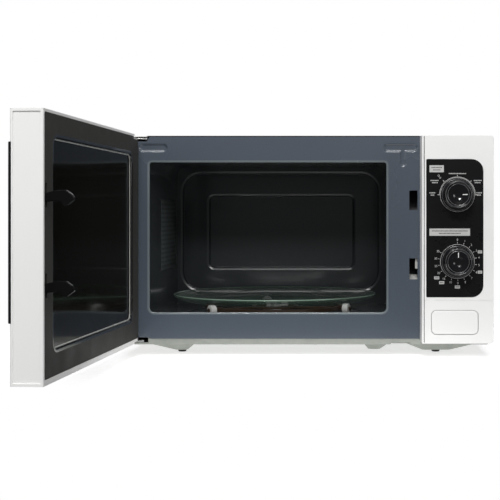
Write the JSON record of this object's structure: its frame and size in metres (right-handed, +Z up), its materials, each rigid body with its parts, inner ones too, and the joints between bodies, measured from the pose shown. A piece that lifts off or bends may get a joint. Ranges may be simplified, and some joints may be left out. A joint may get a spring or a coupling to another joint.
{
  "type": "microwave oven",
  "caption": "Compact microwave oven with a side-hinged door standing open, glass turntable on a roller ring, two rotary dials and a push-button door release.",
  "frame": {"origin": "on the surface that the feet stand on, under the middle of the box round the whole oven with its door open as stored", "axes": "+Z up; -Y the door and control panel side; +X towards the control panel, to a viewer's right"},
  "size_m": [0.4726, 0.6945, 0.2636],
  "materials": {
    "white_enamel": "fine-textured white powder enamel",
    "dark_enamel": "smooth blue-grey vitreous enamel",
    "galvanised": "galvanised, faint spangle",
    "zinc_bracket": "bright zinc plate",
    "white_plastic": "moulded, satin gloss",
    "black_plastic": "moulded, satin",
    "inner_door_black": "warm satin black",
    "window_film": "high gloss black",
    "door_pane": "polished black glass",
    "overlay_print": "satin black with pale dial marks",
    "screen_steel": "black enamelled, perforated",
    "tray_glass": "pressed glass, slightly green",
    "lamp_glass": "clear",
    "rubber_black": "moulded",
    "roller_white": "moulded",
    "ring_brown": "moulded heat-resistant resin",
    "nylon_grey": "moulded",
    "nylon_black": "moulded",
    "timer_case": "pressed steel case",
    "shaft_steel": "turned",
    "motor_steel": "plated",
    "magnetron_metal": "bright",
    "core_steel": "varnished laminations",
    "capacitor_can": "drawn can",
    "mica": "mica sheet",
    "board_green": "circuit board",
    "lead_jacket": "silicone insulation"
  },
  "bodies": {
    "oven": {"air_duct": "nylon_grey", "base_plate": "galvanised", "base_screws": "zinc_bracket", "button_spring": "shaft_steel", "cabinet_screws": "zinc_bracket", "capacitor": "capacitor_can", "cavity_back": "dark_enamel", "cavity_floor": "dark_enamel", "cavity_wrap": "dark_enamel", "control_panel": "white_plastic", "cord_gland": "nylon_black", "fan_motor": "motor_steel", "fan_shroud": "galvanised", "front_plate": "dark_enamel", "hv_diode": "board_green", "interlock_switches": "nylon_black", "lamp": "lamp_glass", "lamp_holder": "nylon_grey", "latch_bracket": "nylon_grey", "lower_hinge": "zinc_bracket", "magnetron": "magnetron_metal", "noise_filter": "board_green", "outer_cabinet": "white_enamel", "panel_overlay": "overlay_print", "power_selector": "nylon_black", "rear_panel": "galvanised", "rear_spacer": "nylon_grey", "rubber_feet": "rubber_black", "thermal_cutouts": "zinc_bracket", "timer_bell": "zinc_bracket", "timer_unit": "timer_case", "transformer": "core_steel", "turntable_motor": "motor_steel", "upper_hinge": "zinc_bracket", "waveguide": "galvanised", "waveguide_cover": "mica", "wiring": "lead_jacket"},
    "door": {"door_frame": "white_plastic", "door_glass": "door_pane", "door_screen": "screen_steel", "choke_cover": "inner_door_black", "door_film": "window_film", "hook_spring": "shaft_steel", "hook_stop": "black_plastic"},
    "hooks": {"latch_hooks": "black_plastic"},
    "button": {"door_button": "white_plastic"},
    "lever": {"release_lever": "nylon_grey"},
    "power": {"power_knob": "black_plastic", "selector_shaft": "shaft_steel"},
    "timer": {"timer_knob": "black_plastic", "timer_shaft": "shaft_steel"},
    "turntable": {"coupler": "nylon_grey", "glass_tray": "tray_glass", "turntable_shaft": "shaft_steel"},
    "ring": {"roller_ring": "ring_brown"},
    "wheel_1": {"roller_1": "roller_white"},
    "wheel_2": {"roller_2": "roller_white"},
    "wheel_3": {"roller_3": "roller_white"},
    "fan": {"fan_blade": "nylon_black", "fan_shaft": "shaft_steel"}
  },
  "joints": [
    {"name": "door_hinge", "type": "hinge", "parent": "oven", "child": "door", "pos_m": [-0.196, 0.0005, 0.14], "axis": [0, 0, 1], "range_deg": [-10, 93.3]},
    {"name": "hook_slide", "type": "slide", "parent": "door", "child": "hooks", "axis": [0, 0, 1], "range_m": [0, 0.004], "stiffness_N_per_m": 300, "springref_m": -0.006, "deforming": ["hook_spring"]},
    {"name": "button_press", "type": "slide", "parent": "oven", "child": "button", "axis": [0, 1, 0], "range_m": [0, 0.006], "stiffness_N_per_m": 500, "springref_m": -0.004, "deforming": ["button_spring"]},
    {"name": "lever_turn", "type": "hinge", "parent": "oven", "child": "lever", "pos_m": [0.1665, 0.0205, 0.078], "axis": [1, 0, 0], "range_deg": [0, 10]},
    {"name": "power_turn", "type": "hinge", "parent": "oven", "child": "power", "pos_m": [0.1941, -0.0155, 0.1922], "axis": [0, 1, 0], "range_deg": [-180, 0]},
    {"name": "timer_turn", "type": "hinge", "parent": "oven", "child": "timer", "pos_m": [0.1941, -0.0155, 0.1141], "axis": [0, 1, 0], "range_deg": [0, 298]},
    {"name": "turntable_spin", "type": "hinge", "parent": "oven", "child": "turntable", "pos_m": [-0.0299, 0.1615, 0.0542], "axis": [0, 0, 1], "continuous": true},
    {"name": "ring_spin", "type": "hinge", "parent": "oven", "child": "ring", "pos_m": [-0.0299, 0.1615, 0.04705], "axis": [0, 0, 1], "continuous": true},
    {"name": "wheel_1_spin", "type": "hinge", "parent": "ring", "child": "wheel_1", "pos_m": [-0.1065, 0.09722, 0.04705], "axis": [-0.766, -0.6428, 0], "continuous": true},
    {"name": "wheel_2_spin", "type": "hinge", "parent": "ring", "child": "wheel_2", "pos_m": [0.06407, 0.1273, 0.04705], "axis": [0.9397, -0.342, 0], "continuous": true},
    {"name": "wheel_3_spin", "type": "hinge", "parent": "ring", "child": "wheel_3", "pos_m": [-0.04726, 0.25998, 0.04705], "axis": [-0.1736, 0.9848, 0], "continuous": true},
    {"name": "fan_spin", "type": "hinge", "parent": "oven", "child": "fan", "pos_m": [0.1815, 0.3145, 0.165], "axis": [0, 1, 0], "continuous": true}
  ],
  "couplings": [
    {"joint": "lever_turn", "follows": "button_press", "rad_per_m": 29},
    {"joint": "ring_spin", "follows": "turntable_spin", "ratio": 0.5},
    {"joint": "wheel_1_spin", "follows": "turntable_spin", "ratio": -7.3529},
    {"joint": "wheel_2_spin", "follows": "turntable_spin", "ratio": -7.3529},
    {"joint": "wheel_3_spin", "follows": "turntable_spin", "ratio": -7.3529}
  ]
}
